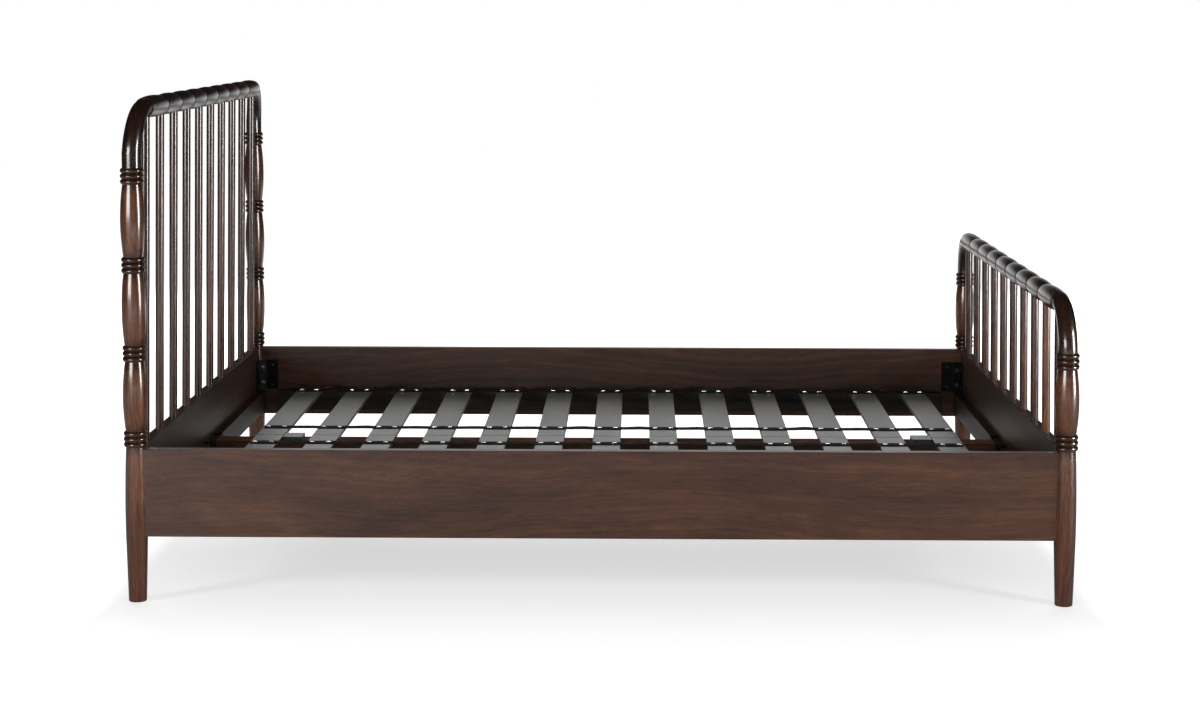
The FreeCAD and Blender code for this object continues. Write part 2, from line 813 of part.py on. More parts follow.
def staples(side):
    """Staple crowns, two where each strap crosses a slat."""
    half = staple_length / 2
    half_width = staple_width / 2
    offset = slat_width / 2 - staple_edge_inset
    pieces = []
    for y in strap_middles(side):
        for middle in slat_places():
            for x in (middle - offset, middle + offset):
                low = (x - half, y - half_width, strap_top)
                high = (x + half, y + half_width, strap_top + staple_height)
                pieces.append(box(low, high))
    return pieces


# Stop blocks
def block_start(end):
    """X of the outer face of a stop block, just inside the end slat."""
    end_slat = max(end * x for x in slat_places())
    return end * (end_slat - slat_width / 2 - block_gap)


def ledger_stop_blocks():
    """Wooden blocks on the ledgers, inside the end slats."""
    blocks = []
    for end in END_SIGNS.values():
        for side in SIDE_SIGNS.values():
            top = seat_top + ledger_block_height
            low = (block_start(end), side * ledger_inner_y, seat_top)
            high = (block_start(end) - end * block_width, side * rail_inner_y, top)
            blocks.append(box(low, high))
    return blocks


def beam_stop_blocks():
    """Thin blocks on the beam, inside the end slats."""
    half = beam_block_width / 2
    blocks = []
    for end in END_SIGNS.values():
        low = (block_start(end), -half, seat_top)
        blocks.append(box(low, (block_start(end) - end * block_width, half, slat_top)))
    return blocks


def save(node, *solids):
    """Write one node, a single piece or a group of like pieces."""
    shape = solids[0] if len(solids) == 1 else Part.makeCompound(list(solids))
    shape.exportStep("parts/" + node + ".step")


def save_boards():
    """Posts, elbows, rails and spindles of the headboard and the footboard."""
    for end in END_SIGNS:
        for side in SIDE_SIGNS:
            save(end + "_post_" + side, post(end, side))
            save(end + "_elbow_" + side, elbow(end, side))
        save(end + "_top_rail", top_rail(end))
        save(end + "_lower_rail", lower_rail(end))
        save(end + "_cleat", end_cleat(end))
        for i, y in enumerate(spindle_places()):
            save(end + "_spindle_" + str(i + 1), spindle(end, y))


def save_sides():
    """Side rails and ledgers, and the slat roll on each side."""
    for side in SIDE_SIGNS:
        save("side_rail_" + side, side_rail(side))
        save("rail_ledger_" + side, rail_ledger(side))
        save("slats_" + side, *slats(side))
        save("straps_" + side, *straps(side))
        save("staples_" + side, *staples(side))


def save_middle():
    """Centre beam with its hangers, legs and glides, and the stop blocks."""
    save("centre_beam", centre_beam())
    save("beam_hangers", *[beam_hanger(end) for end in END_SIGNS])
    for i, x in enumerate(centre_leg_places()):
        save("centre_leg_" + str(i + 1), centre_leg(x))
        save("levelling_glide_" + str(i + 1), levelling_glide(x))
    save("leg_bolts", *[leg_bolt(x) for x in centre_leg_places()])
    save("glide_inserts", *[glide_insert(x) for x in centre_leg_places()])
    save("ledger_stop_blocks", *ledger_stop_blocks())
    save("beam_stop_blocks", *beam_stop_blocks())


def save_fasteners():
    """Corner brackets, their bolts, and the short and long wood screws."""
    corners = [(end, side) for end in END_SIGNS for side in SIDE_SIGNS]
    save("corner_brackets", *[corner_bracket(end, side) for end, side in corners])
    save("bed_bolts", *[bed_bolt(*place[2:]) for place in bolt_places()])
    short_places = [place[3:] for place in bracket_screw_places()]
    long_places = []
    for end in END_SIGNS:
        short_places += ear_screw_places(end) + cheek_screw_places(end)
        long_places += cleat_screw_places(end)
    for side in SIDE_SIGNS:
        long_places += ledger_screw_places(side)
    save("short_screws", *[short_screw(*place) for place in short_places])
    save("long_screws", *[long_screw(*place) for place in long_places])


os.makedirs("parts", exist_ok=True)
save_boards()
save_sides()
save_middle()
save_fasteners()
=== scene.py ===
import bmesh
import bpy
import math
import random

import numpy as np
from mathutils import Matrix, Vector

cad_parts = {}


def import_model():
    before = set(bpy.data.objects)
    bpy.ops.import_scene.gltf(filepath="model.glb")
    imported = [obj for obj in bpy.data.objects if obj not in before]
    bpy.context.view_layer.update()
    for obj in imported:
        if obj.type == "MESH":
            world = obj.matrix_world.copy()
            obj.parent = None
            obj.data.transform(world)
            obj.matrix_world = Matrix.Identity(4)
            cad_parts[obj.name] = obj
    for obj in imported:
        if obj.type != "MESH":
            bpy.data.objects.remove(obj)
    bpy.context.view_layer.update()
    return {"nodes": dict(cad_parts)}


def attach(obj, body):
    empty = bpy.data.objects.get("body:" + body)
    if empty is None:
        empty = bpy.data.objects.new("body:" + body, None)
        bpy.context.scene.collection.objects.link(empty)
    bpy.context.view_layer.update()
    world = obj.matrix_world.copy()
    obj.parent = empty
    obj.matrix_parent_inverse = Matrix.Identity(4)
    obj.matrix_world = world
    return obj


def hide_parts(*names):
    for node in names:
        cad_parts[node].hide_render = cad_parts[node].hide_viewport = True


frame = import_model()
nodes = frame["nodes"]
SIDES = ("left", "right")


# Material graphs
PATTERN_SHIFTS = (13.7, 29.3, 7.1)


class Graph:
    """A material's node tree, with short calls to add and join nodes."""

    def __init__(self, name):
        self.material = bpy.data.materials.new(name)
        self.material.use_nodes = True
        self.tree = self.material.node_tree
        self.shader = self.tree.nodes["Principled BSDF"]

    def add(self, kind, values=(), **settings):
        node = self.tree.nodes.new(kind)
        for key, value in settings.items():
            setattr(node, key, value)
        for key, value in dict(values).items():
            self.put(node.inputs[key], value)
        return node

    def put(self, socket, value):
        if isinstance(value, bpy.types.NodeSocket):
            self.tree.links.new(value, socket)
        else:
            socket.default_value = value

    def set(self, **values):
        for key, value in values.items():
            self.put(self.shader.inputs[key.replace("_", " ")], value)

    def math(self, operation, a, b=0.0):
        node = self.add("ShaderNodeMath", operation=operation)
        self.put(node.inputs[0], a)
        self.put(node.inputs[1], b)
        return node.outputs[0]

    def weigh(self, *terms):
        """Weighted sum of (value, weight) pairs."""
        total = 0.0
        for value, weight in terms:
            total = self.math("ADD", self.math("MULTIPLY", value, weight), total)
        return total

    def smooth(self, value, low, high, at_low, at_high):
        values = {"Value": value, "From Min": low, "From Max": high, "To Min": at_low, "To Max": at_high}
        return self.add("ShaderNodeMapRange", values, interpolation_type="SMOOTHSTEP").outputs["Result"]

    def vector_math(self, operation, a, b=(0.0, 0.0, 0.0)):
        node = self.add("ShaderNodeVectorMath", operation=operation)
        self.put(node.inputs[0], a)
        self.put(node.inputs[1], b)
        return node.outputs["Value"] if operation in ("LENGTH", "DOT_PRODUCT") else node.outputs[0]

    def noise_node(self, values, **settings):
        return self.add("ShaderNodeTexNoise", {"Scale": 1.0, **values}, **settings)

    def noise(self, vector, scale, detail=4.0, roughness=0.55, distortion=0.0):
        stretched = self.vector_math("MULTIPLY", vector, scale)
        values = {"Vector": stretched, "Detail": detail, "Roughness": roughness, "Distortion": distortion}
        return self.noise_node(values).outputs["Fac"]

    def ramp(self, factor, stops):
        node = self.add("ShaderNodeValToRGB", {"Fac": factor})
        elements = node.color_ramp.elements
        while len(elements) < len(stops):
            elements.new(0.5)
        for element, (place, colour) in zip(elements, stops):
            element.position = place
            element.color = (*colour, 1.0)
        return node.outputs["Color"]

    def grey_ramp(self, factor, stops):
        return self.ramp(factor, [(place, (value, value, value)) for place, value in stops])

    def mix(self, factor, a, b, blend="MIX"):
        node = self.add("ShaderNodeMix", data_type="RGBA", blend_type=blend)
        self.put(node.inputs["Factor"], factor)
        colours = [s for s in node.inputs if s.type == "RGBA"]
        for socket, value in zip(colours, (a, b)):
            self.put(socket, (*value, 1.0) if isinstance(value, tuple) else value)
        return [s for s in node.outputs if s.type == "RGBA"][0]

    def bump(self, height, strength, distance):
        values = {"Height": height, "Strength": strength, "Distance": distance}
        self.put(self.shader.inputs["Normal"], self.add("ShaderNodeBump", values).outputs["Normal"])

    def chance(self):
        """A random number for each object."""
        return self.add("ShaderNodeObjectInfo").outputs["Random"]

    def place(self):
        """Coordinates in the bed's frame, moved by a different amount on each object."""
        coordinates = self.add("ShaderNodeTexCoord").outputs["Object"]
        chance = self.chance()
        shift = self.add("ShaderNodeCombineXYZ")
        for socket, size in zip(shift.inputs, PATTERN_SHIFTS):
            self.put(socket, self.math("MULTIPLY", chance, size))
        return self.vector_math("ADD", coordinates, shift.outputs[0])


# Turned rings of the posts: heights that they span, depth of their stain, and its fade past them
RING_SPANS = ((0.354, 0.391), (0.539, 0.585), (0.748, 0.785), (0.948, 0.986))
RING_SHADE = 0.32
RING_FADE = (-0.004, 0.024)


def ring_glaze(g, colour):
    """Darken a colour at the turned rings of a post, where stain has gathered."""
    coordinates = g.add("ShaderNodeTexCoord").outputs["Object"]
    height = g.add("ShaderNodeSeparateXYZ", {0: coordinates}).outputs["Z"]
    shade = 1.0
    for low, high in RING_SPANS:
        away = g.math("MAXIMUM", g.math("SUBTRACT", low, height), g.math("SUBTRACT", height, high))
        shade = g.math("MINIMUM", shade, g.smooth(away, *RING_FADE, RING_SHADE, 1.0))
    return g.mix(1.0, colour, shade, "MULTIPLY")


# Wood pattern: repeats per metre along and across the grain, and weights and colour stops of its layers
DRIFT_SCALE = (1.3, 3.6, 3.6)
DRIFT_REACH = (0.0, 0.13, 0.13)
GROWTH_SCALE = (0.0, 44.0, 62.0)
FIGURE_SCALE = (2.0, 12.0, 12.0)
FIBRE_SCALE = (13.0, 270.0, 270.0)
PORE_SCALE = (42.0, 950.0, 950.0)
TONE_WEIGHTS = {"growth": 0.32, "figure": 0.44, "fibre": 0.24}
TONE_STOPS = (0.39, 0.465, 0.53, 0.615)
PORE_STOPS = ((0.34, 0.45), (0.47, 1.0))
PORE_DEPTH = 0.6
TINTS = ((0.0, (0.62, 0.66, 0.74)), (0.5, (1.0, 1.0, 1.0)), (1.0, (1.55, 1.28, 1.05)))
TINT_PICK = 7.31
FIBRE_GLOSS = 0.14
LACQUER_ROUGHNESS = 0.13
WOOD_IOR = 1.45
LACQUERED_BUMP = 0.02
BARE_BUMP = 0.06
GRAIN_DEPTH = 0.0005
GRAIN_TURNS = {
    "x": (0.0, 0.0, 0.0),
    "y": (0.0, 0.0, -90.0),
    "z": (0.0, 90.0, 0.0),
    "bend_left": (-45.0, 90.0, 0.0),
    "bend_right": (45.0, 90.0, 0.0),
}


def wood(name, grain, colours, roughness, coat, spread=0.2, rings=False):
    """Stained and lacquered wood, turned so that its grain lies along the pattern's X axis."""
    g = Graph(name)
    rotation = tuple(math.radians(a) for a in GRAIN_TURNS[grain])
    place = g.add("ShaderNodeMapping", {"Vector": g.place(), "Rotation": rotation}).outputs[0]
    stretched = g.vector_math("MULTIPLY", place, DRIFT_SCALE)
    drift = g.noise_node({"Vector": stretched, "Detail": 2.0}).outputs["Color"]
    drift = g.vector_math("SUBTRACT", drift, (0.5, 0.5, 0.5))
    bent = g.vector_math("ADD", place, g.vector_math("MULTIPLY", drift, DRIFT_REACH))
    layer = {"W": g.vector_math("DOT_PRODUCT", bent, GROWTH_SCALE), "Detail": 4.0, "Roughness": 0.62}
    growth = g.noise_node(layer, noise_dimensions="1D").outputs["Fac"]
    figure = g.noise(bent, FIGURE_SCALE, 4.0, 0.6, 0.5)
    fibre = g.noise(bent, FIBRE_SCALE, 3.0, 0.6, 0.2)
    pores = g.noise(bent, PORE_SCALE, 2.0, 0.5)
    layers = (("growth", growth), ("figure", figure), ("fibre", fibre))
    tone = g.weigh(*[(value, TONE_WEIGHTS[key]) for key, value in layers])
    colour = g.ramp(tone, list(zip(TONE_STOPS, colours)))
    colour = g.mix(PORE_DEPTH, colour, g.grey_ramp(pores, PORE_STOPS), "MULTIPLY")
    pick = g.math("FRACT", g.math("MULTIPLY", g.chance(), TINT_PICK))
    tint = g.ramp(pick, TINTS)
    colour = g.mix(spread, colour, g.mix(1.0, colour, tint, "MULTIPLY"))
    if rings:
        colour = ring_glaze(g, colour)
    g.set(Base_Color=colour)
    g.put(g.shader.inputs["Roughness"], g.math("ADD", g.math("MULTIPLY", fibre, FIBRE_GLOSS), roughness))
    g.set(Coat_Weight=coat, Coat_Roughness=LACQUER_ROUGHNESS, IOR=WOOD_IOR)
    relief = g.weigh((fibre, 0.5), (pores, 0.5))
    g.bump(relief, LACQUERED_BUMP if coat else BARE_BUMP, GRAIN_DEPTH)
    return g.material


# Stains, from the dark to the light parts of the grain
POST_STAIN = (
    (0.045, 0.0150, 0.0075),
    (0.088, 0.0300, 0.0125),
    (0.120, 0.0410, 0.0160),
    (0.190, 0.0700, 0.0260),
)
BEND_STAIN = (
    (0.006, 0.0034, 0.0026),
    (0.016, 0.0072, 0.0048),
    (0.026, 0.0108, 0.0066),
    (0.046, 0.0180, 0.0094),
)
BOARD_STAIN = (
    (0.028, 0.0125, 0.0080),
    (0.054, 0.0220, 0.0125),
    (0.072, 0.0285, 0.0150),
    (0.115, 0.0450, 0.0205),
)
# Panels: a darker, greyer copy of the board stain, painted shade for their inner faces inside the bed
PANEL_STAIN_PAINTED_SHADE = (
    (0.016, 0.0085, 0.0060),
    (0.032, 0.0150, 0.0095),
    (0.044, 0.0195, 0.0115),
    (0.072, 0.0310, 0.0160),
)
# Ledgers and cleats: the board stain darkened to near black, painted shade for where they sit deep inside
# the bed
STRIP_STAIN_PAINTED_SHADE = (
    (0.008, 0.0045, 0.0036),
    (0.016, 0.0082, 0.0056),
    (0.023, 0.0105, 0.0068),
    (0.040, 0.0170, 0.0098),
)
SPINDLE_STAIN = (
    (0.018, 0.0090, 0.0062),
    (0.044, 0.0190, 0.0115),
    (0.070, 0.0290, 0.0160),
    (0.125, 0.0520, 0.0250),
)
WARM_STAIN = (
    (0.030, 0.0140, 0.0088),
    (0.072, 0.0300, 0.0165),
    (0.112, 0.0450, 0.0230),
    (0.190, 0.0780, 0.0370),
)
BROWN_STAIN = (
    (0.050, 0.0240, 0.0140),
    (0.100, 0.0460, 0.0250),
    (0.140, 0.0660, 0.0360),
    (0.240, 0.1150, 0.0580),
)

# Finishes of the wood
LACQUER = {"roughness": 0.20, "coat": 0.7}
RUBBED = {"roughness": 0.24, "coat": 0.12}
SATIN = {"roughness": 0.34, "coat": 0.0}
MATT = {"roughness": 0.40, "coat": 0.0}

post_wood = wood("wood_post", "z", POST_STAIN, **LACQUER, rings=True)
bend_wood = {}
for side in SIDES:
    bend_wood[side] = wood("wood_bend_" + side, "bend_" + side, BEND_STAIN, **LACQUER)
rail_wood = wood("wood_top_rail", "y", BEND_STAIN, **RUBBED)
board_wood = {grain: wood("board_" + grain, grain, BOARD_STAIN, **SATIN) for grain in "xz"}
# The head and foot panels take the darker copy of the board stain, painted shade
panel_wood_painted_shade = wood("wood_panel", "y", PANEL_STAIN_PAINTED_SHADE, **SATIN)
# The centre beam takes the lighter post stain: painted light that lifts its face out of the shade under the
# slats
beam_wood = wood("wood_beam", "x", POST_STAIN, **MATT)
# Ledgers and cleats take the near-black stain, painted shade for the bed's dark inside
strip_wood_painted_shade = {grain: wood("strip_" + grain, grain, STRIP_STAIN_PAINTED_SHADE, **MATT) for grain in "xy"}
spindle_wood = {
    "head": wood("wood_head_spindle", "z", SPINDLE_STAIN, **LACQUER, spread=1.0),
    "foot": wood("wood_foot_spindle", "z", WARM_STAIN, **LACQUER, spread=0.8),
}
brown_wood = wood("wood_brown", "x", BROWN_STAIN, **MATT)


# Slat paint: colours from its dark to its light parts
PAINT_STOPS = (
    (0.36, (0.080, 0.078, 0.073)),
    (0.52, (0.115, 0.112, 0.106)),
    (0.66, (0.150, 0.147, 0.139)),
)


def painted_slat():
    """Grey satin paint over straight-grained wood."""
    g = Graph("slat_paint")
    place = g.place()
    fibre = g.noise(place, (190.0, 4.0, 190.0), 4.0, 0.62)
    cloud = g.noise(place, (14.0, 3.0, 14.0), 3.0, 0.5)
    scuff = g.noise(place, (40.0, 60.0, 40.0), 5.0, 0.7)
    tone = g.weigh((fibre, 0.45), (cloud, 0.35), (scuff, 0.20))
    g.set(Base_Color=g.ramp(tone, PAINT_STOPS))
    g.put(g.shader.inputs["Roughness"], g.math("ADD", g.math("MULTIPLY", fibre, 0.2), 0.30))
    g.bump(g.weigh((fibre, 0.7), (scuff, 0.3)), 0.14, GRAIN_DEPTH)
    return g.material


# Webbing: ribs per pattern unit across and along the strap, and their colours
RIB_SCALES = {"X": 105.0, "Y": 75.0}
WEBBING_STOPS = ((0.1, (0.003, 0.003, 0.003)), (0.8, (0.014, 0.013, 0.0125)))


def webbing():
    """Black woven webbing with ribs across the strap and a twill along it."""
    g = Graph("webbing")
    coordinates = g.add("ShaderNodeTexCoord").outputs["Object"]
    ribs = []
    for direction, scale in RIB_SCALES.items():
        values = {"Vector": coordinates, "Scale": scale, "Distortion": 0.4}
        ribs.append(g.add("ShaderNodeTexWave", values, bands_direction=direction).outputs["Fac"])
    weave = g.math("MULTIPLY", *ribs)
    fuzz = g.noise(coordinates, (900.0, 900.0, 900.0), 3.0, 0.6)
    tone = g.weigh((weave, 0.7), (fuzz, 0.3))
    g.set(Base_Color=g.ramp(tone, WEBBING_STOPS))
    g.set(Roughness=0.75, Sheen_Weight=0.02, Sheen_Roughness=0.5, Specular_IOR_Level=0.2)
    g.bump(weave, 0.6, 0.0005)
    return g.material


def metal(name, dark, light, roughness, metallic, scratch, gloss=0.5):
    """Metal or powder coat with fine scratches and speckle."""
    g = Graph(name)
    place = g.place()
    speckle = g.noise(place, (700.0, 700.0, 700.0), 4.0, 0.6)
    streak = g.noise(place, (90.0, 1400.0, 500.0), 3.0, 0.6)
    tone = g.weigh((speckle, 0.5), (streak, 0.5))
    g.set(Base_Color=g.ramp(tone, [(0.3, dark), (0.7, light)]))
    g.put(g.shader.inputs["Roughness"], g.math("ADD", g.math("MULTIPLY", tone, 0.2), roughness))
    g.set(Metallic=metallic, Specular_IOR_Level=gloss)
    g.bump(tone, scratch, 0.0002)
    return g.material


slat_paint = painted_slat()
strap_webbing = webbing()
bright_steel = metal("bright_steel", (0.62, 0.61, 0.58), (0.90, 0.89, 0.86), 0.30, 0.55, 0.1)
zinc_steel = metal("zinc_steel", (0.30, 0.295, 0.285), (0.52, 0.51, 0.49), 0.25, 1.0, 0.15)
dark_steel = metal("dark_steel", (0.035, 0.034, 0.033), (0.075, 0.073, 0.070), 0.25, 0.8, 0.15)
black_steel = metal("black_steel", (0.003, 0.003, 0.003), (0.008, 0.008, 0.008), 0.42, 0.0, 0.25, 0.1)
brass = metal("brass", (0.45, 0.31, 0.12), (0.66, 0.48, 0.2), 0.25, 1.0, 0.1)
black_plastic = metal("black_plastic", (0.014, 0.014, 0.014), (0.026, 0.026, 0.026), 0.45, 0.0, 0.15)


# Materials by the start, and else by the end, of a piece's name
NAME_STARTS = (
    ("slats_", slat_paint),
    ("beam_stop_blocks", slat_paint),
    ("straps_", strap_webbing),
    ("staples_", bright_steel),
    ("corner_brackets", black_steel),
    ("beam_hangers", black_steel),
    ("bed_bolts", dark_steel),
    ("short_screws", dark_steel),
    ("long_screws", dark_steel),
    ("leg_bolts", zinc_steel),
    ("glide_inserts", brass),
    ("levelling_glide_", black_plastic),
    ("ledger_stop_blocks", brown_wood),
    ("head_spindle_", spindle_wood["head"]),
    ("foot_spindle_", spindle_wood["foot"]),
    ("head_post_", post_wood),
    ("foot_post_", post_wood),
    ("rail_ledger", strip_wood_painted_shade["x"]),
    ("centre_beam", beam_wood),
    ("centre_leg_", board_wood["z"]),
)
NAME_ENDS = (
    ("_elbow_left", bend_wood["left"]),
    ("_elbow_right", bend_wood["right"]),
    ("_top_rail", rail_wood),
    ("_lower_rail", panel_wood_painted_shade),
    ("_cleat", strip_wood_painted_shade["y"]),
)


def node_material(name):
    """The material of a carried-over piece, with its grain along the piece."""
    for start, material in NAME_STARTS:
        if name.startswith(start):
            return material
    for end, material in NAME_ENDS:
        if name.endswith(end):
            return material
    return board_wood["x"]


for name, obj in nodes.items():
    obj.data.materials.clear()
    obj.data.materials.append(node_material(name))


# Straps, staples, screws and bolts
WELD_DISTANCE = 1e-5
SHARP_ANGLE = math.radians(40.0)


def loose_parts(node):
    """The points of each separate solid of a node."""
    mesh = bmesh.new()
    mesh.from_mesh(nodes[node].data)
    bmesh.ops.remove_doubles(mesh, verts=mesh.verts, dist=WELD_DISTANCE)
    mesh.verts.index_update()
    seen = set()
    parts = []
    for first in mesh.verts:
        if first.index in seen:
            continue
        seen.add(first.index)
        waiting = [first]
        points = []
        while waiting:
            vert = waiting.pop()
            points.append(tuple(vert.co))
            for edge in vert.link_edges:
                other = edge.other_vert(vert)
                if other.index not in seen:
                    seen.add(other.index)
                    waiting.append(other)
        parts.append(np.array(points))
    mesh.free()
    return parts


class Shell:
    """Points and faces of a piece that is put together from tubes."""

    def __init__(self):
        self.points = []
        self.faces = []

    def tube(self, rings):
        """Skin over closed rings of points, with a cap on each end."""
        start = len(self.points)
        count = len(rings[0])
        for ring in rings:
            self.points.extend(ring)
        for row in range(len(rings) - 1):
            for i in range(count):
                a = start + row * count + i
                b = start + row * count + (i + 1) % count
                self.faces.append((a, b, b + count, a + count))
        last = len(self.points) - count
        self.faces.append(tuple(range(start, start + count)))
        self.faces.append(tuple(range(last, last + count)))

    def piece(self, name, material, body, slot, node):
        """A mesh object that takes the place of a node and moves with a body."""
        shape = bmesh.new()
        verts = [shape.verts.new(point) for point in self.points]
        for face in self.faces:
            shape.faces.new([verts[i] for i in face]).smooth = True
        bmesh.ops.recalc_face_normals(shape, faces=shape.faces)
        mesh = bpy.data.meshes.new(name)
        shape.to_mesh(mesh)
        shape.free()
        mesh.set_sharp_from_angle(angle=SHARP_ANGLE)
        mesh.materials.append(material)
        obj = bpy.data.objects.new(name, mesh)
        bpy.context.scene.collection.objects.link(obj)
        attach(obj, body)
        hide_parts(node)
        return obj


def slat_middles(side):
    """X of the middle of each slat in a row, and half a slat's width."""
    spans = [(part[:, 0].min(), part[:, 0].max()) for part in loose_parts("slats_" + side)]
    return sorted((low + high) / 2 for low, high in spans), (spans[0][1] - spans[0][0]) / 2


# Straps: shares of half a slat at which they rise, heights in metres, and the roundness of their section
GAP_HUMP_SHARE = 0.7
SLAT_HUMP_SHARE = 0.5
SLAT_HUMP_RISE = (0.0001, 0.0006)
GAP_HUMP_SKEW = (1.1, 1.9)
OUTER_SLACK = (0.003, 0.0085)
INNER_SLACK = (0.0002, 0.0018)
OUTER_STRAP_Y = 0.4
OUTER_EDGE_LIFT = 0.45
STRAP_STEPS = 340
STRAP_CORNERS = 16
EDGE_POWER = 0.3
FACE_POWER = 0.6


def eased(value, power):
    """A value between -1 and 1 drawn towards its ends, with its sign kept."""
    return math.copysign(abs(value) ** power, value)


def strap_rings(low, high, middles, half_slat, slack, rng):
    """Rings of a webbing strap that lies on the slats and bulges up between them."""
    humps = []
    inset = GAP_HUMP_SHARE * half_slat
    for left, right in zip(middles, middles[1:]):
        humps.append((left + inset, right - inset, rng.uniform(*slack), rng.uniform(*GAP_HUMP_SKEW)))
    inset = SLAT_HUMP_SHARE * half_slat
    for middle in middles:
        humps.append((middle - inset, middle + inset, rng.uniform(*SLAT_HUMP_RISE), 1.0))
    half_width = (high[1] - low[1]) / 2
    half_depth = (high[2] - low[2]) / 2
    centre_y = (high[1] + low[1]) / 2
    outward = math.copysign(1.0, centre_y)
    rings = []
    for x in np.linspace(low[0], high[0], STRAP_STEPS):
        lift = 0.0
        for start, finish, rise, skew in humps:
            if start < x < finish:
                share = (x - start) / (finish - start)
                lift += rise * math.sin(math.pi * share ** skew) ** 2
        ring = []
        for angle in np.linspace(0.0, 2.0 * math.pi, STRAP_CORNERS, endpoint=False):
            across = eased(math.cos(angle), EDGE_POWER)
            depth = eased(math.sin(angle), FACE_POWER)
            tilt = lift * (1.0 + OUTER_EDGE_LIFT * outward * across)
            ring.append((x, centre_y + half_width * across, low[2] + half_depth * (1.0 + depth) + tilt))
        rings.append(ring)
    return rings


def straps(side, rng):
    """The two webbing straps of a row, looser on the outer one."""
    shell = Shell()
    middles, half_slat = slat_middles(side)
    for part in loose_parts("straps_" + side):
        low, high = part.min(axis=0), part.max(axis=0)
        outer = max(abs(low[1]), abs(high[1])) > OUTER_STRAP_Y
        slack = OUTER_SLACK if outer else INNER_SLACK
        shell.tube(strap_rings(low, high, middles, half_slat, slack, rng))
    body = "slat_roll_" + side
    shell.piece("webbing_" + side, strap_webbing, body, "webbing_black", "straps_" + side)


# Staples: wire size as a share of the height, width of the wire by its height, turn in degrees, and outline
WIRE_SHARE = 0.85
WIRE_WIDTH = 1.3
WIRE_CORNERS = 8
STAPLE_YAW = 14.0
STAPLE_OUTLINE = (
    (-1.0, -2.4),
    (-1.0, -0.4),
    (-0.93, 0.4),
    (-0.8, 0.6),
    (0.8, 0.6),
    (0.93, 0.4),
    (1.0, -0.4),
    (1.0, -2.4),
)


def wire_rings(points, across, radius):
    """Rings of a thin wire along points that lie in one plane, square to a direction."""
    rings = []
    for i, point in enumerate(points):
        ahead = points[min(i + 1, len(points) - 1)] - points[max(i - 1, 0)]
        upward = across.cross(ahead.normalized())
        ring = []
        for angle in np.linspace(0.0, 2.0 * math.pi, WIRE_CORNERS, endpoint=False):
            offset = math.cos(angle) * across * WIRE_WIDTH + math.sin(angle) * upward
            ring.append(tuple(point + radius * offset))
        rings.append(ring)
    return rings


def staples(side, rng):
    """Wire staples with rounded shoulders, each a little out of line."""
    shell = Shell()
    for part in loose_parts("staples_" + side):
        low, high = part.min(axis=0), part.max(axis=0)
        middle = Vector(((low + high) / 2).tolist())
        half = float(high[0] - low[0]) / 2
        radius = float(high[2] - low[2]) * WIRE_SHARE
        yaw = math.radians(rng.uniform(-STAPLE_YAW, STAPLE_YAW))
        along = Vector((math.cos(yaw), math.sin(yaw), 0.0))
        across = Vector((-along.y, along.x, 0.0))
        points = []
        for u, v in STAPLE_OUTLINE:
            points.append(middle + along * (u * (half - radius)) + Vector((0.0, 0.0, v * radius)))
        shell.tube(wire_rings(points, across, radius))
    body = "slat_roll_" + side
    return shell.piece("staple_wires_" + side, bright_steel, body, "staple_steel", "staples_" + side)


def fastener_line(points):
    """Top of the head, direction of the shank and length of a screw or bolt."""
    centre = (points.min(axis=0) + points.max(axis=0)) / 2
    axis = np.linalg.svd(points - points.mean(axis=0), full_matrices=False)[2][0]
    axis = np.round(axis / np.abs(axis).max())
    axis = axis / np.linalg.norm(axis)
    along = (points - centre) @ axis
    radius = np.linalg.norm(points - centre - np.outer(along, axis), axis=1)
    if along[radius.argmax()] > 0.0:
        axis = -axis
        along = -along
    top = centre + axis * along.min()
    return Vector(top.tolist()), Vector(axis.tolist()), along.max() - along.min()


# Screws and bolts, in metres
LATHE_CORNERS = 48
SCREW_HEAD_RADIUS = 0.004
SCREW_HEAD_HEIGHT = 0.0024
SCREW_SHANK_RADIUS = 0.00175
SCREW_SHANK_START = 0.0025
SCREW_POINT_LENGTH = 0.004
SCREW_POINT_RADIUS = 0.0002
DOME_START = 0.03
DOME_STEPS = 16
SLOT_ZONE_DEPTH = 0.0015
SLOT_HALF_WIDTH = 0.00055
SLOT_REACH = 0.0022
SLOT_DEPTH = 0.0011
BOLT_HALF_WIDTH = 0.005
BOLT_FLAT_DEPTH = 0.0046
BOLT_FLAT_RADIUS = 0.0048
BOLT_HEAD = ((0.0001, 0.0), (0.0046, 0.0), (BOLT_HALF_WIDTH, 0.0005), (BOLT_HALF_WIDTH, 0.0045))
BOLT_WASHER = ((0.0068, 0.0047), (0.007, 0.0049), (0.007, 0.0057), (0.0068, 0.0059), (0.003, 0.0059))
BOLT_SHANK_RADIUS = 0.003
BOLT_TIP_RADIUS = 0.0024
BOLT_TIP_LENGTH = 0.001


def lathe_rings(top, axis, profile, shape):
    """Rings about an axis through (radius, depth) pairs, each point moved by a shaping function."""
    turn = axis.to_track_quat("Z", "Y")
    rings = []
    for radius, depth in profile:
        ring = []
        for angle in np.linspace(0.0, 2.0 * math.pi, LATHE_CORNERS, endpoint=False):
            r, d = shape(radius, depth, angle)
            ring.append(tuple(top + turn @ Vector((r * math.cos(angle), r * math.sin(angle), d))))
        rings.append(ring)
    return rings


def cross_slot(radius, depth, angle):
    """A cross recess in the top of a screw head."""
    u, v = sorted((abs(radius * math.cos(angle)), abs(radius * math.sin(angle))))
    if depth < SLOT_ZONE_DEPTH and u < SLOT_HALF_WIDTH and v < SLOT_REACH:
        return radius, depth + SLOT_DEPTH
    return radius, depth


def hexagon(radius, depth, angle):
    """Flats on the part of a bolt head above its washer."""
    if depth > BOLT_FLAT_DEPTH or radius < BOLT_FLAT_RADIUS:
        return radius, depth
    return BOLT_HALF_WIDTH / math.cos((angle + math.pi / 6) % (math.pi / 3) - math.pi / 6), depth


